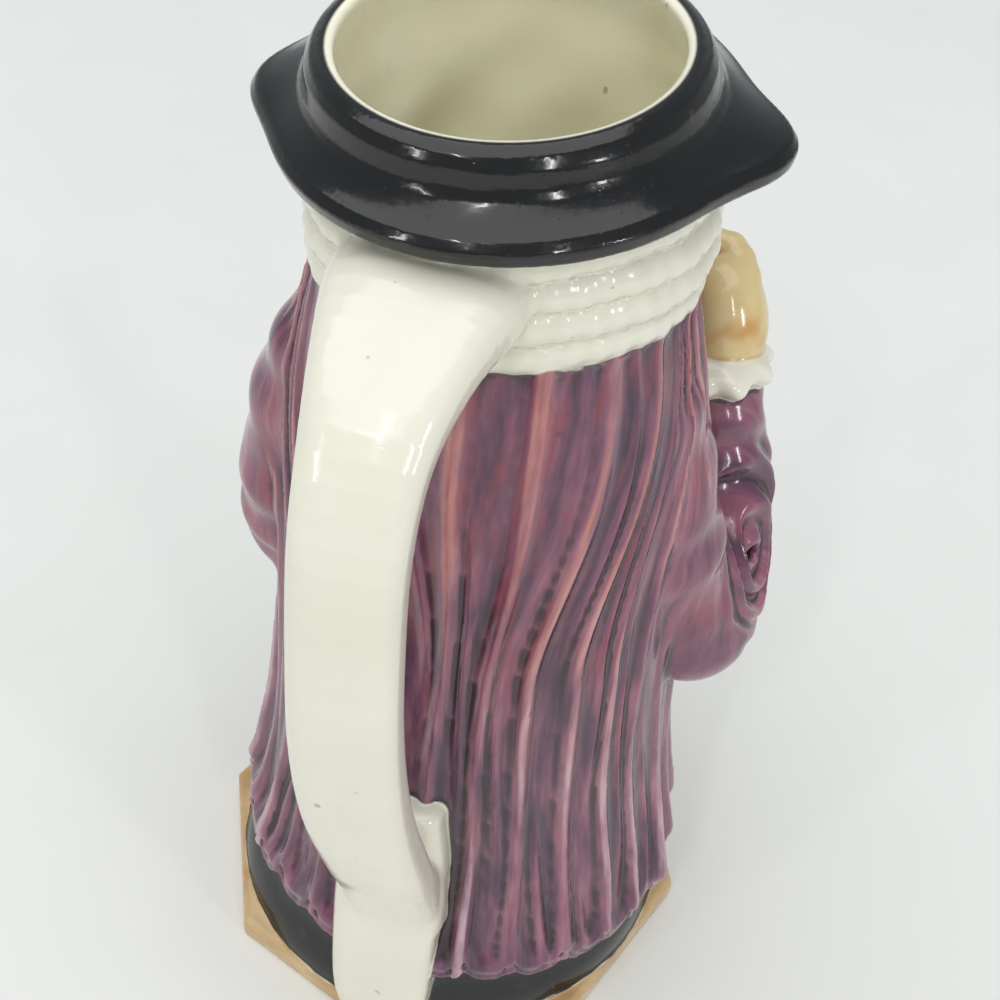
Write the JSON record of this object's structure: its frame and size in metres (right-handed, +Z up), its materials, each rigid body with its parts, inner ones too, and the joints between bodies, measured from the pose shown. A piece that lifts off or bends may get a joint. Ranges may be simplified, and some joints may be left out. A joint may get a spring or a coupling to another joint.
{
  "type": "toby jug",
  "caption": "Glazed toby jug: a standing figure in a tricorn hat and pleated coat, hollow and open at the hat's crown, with a strap handle behind.",
  "frame": {"origin": "centre of the octagonal base's underside, on the surface the jug stands on", "axes": "+Z up along the figure, -Y the way the figure faces, +Y towards the handle, -X the figure's own right, where the hand is raised"},
  "size_m": [0.097, 0.1115, 0.1871],
  "materials": {
    "glaze_purple": "glossy"
  },
  "bodies": {
    "root": {"jug": "glaze_purple"}
  },
  "joints": []
}
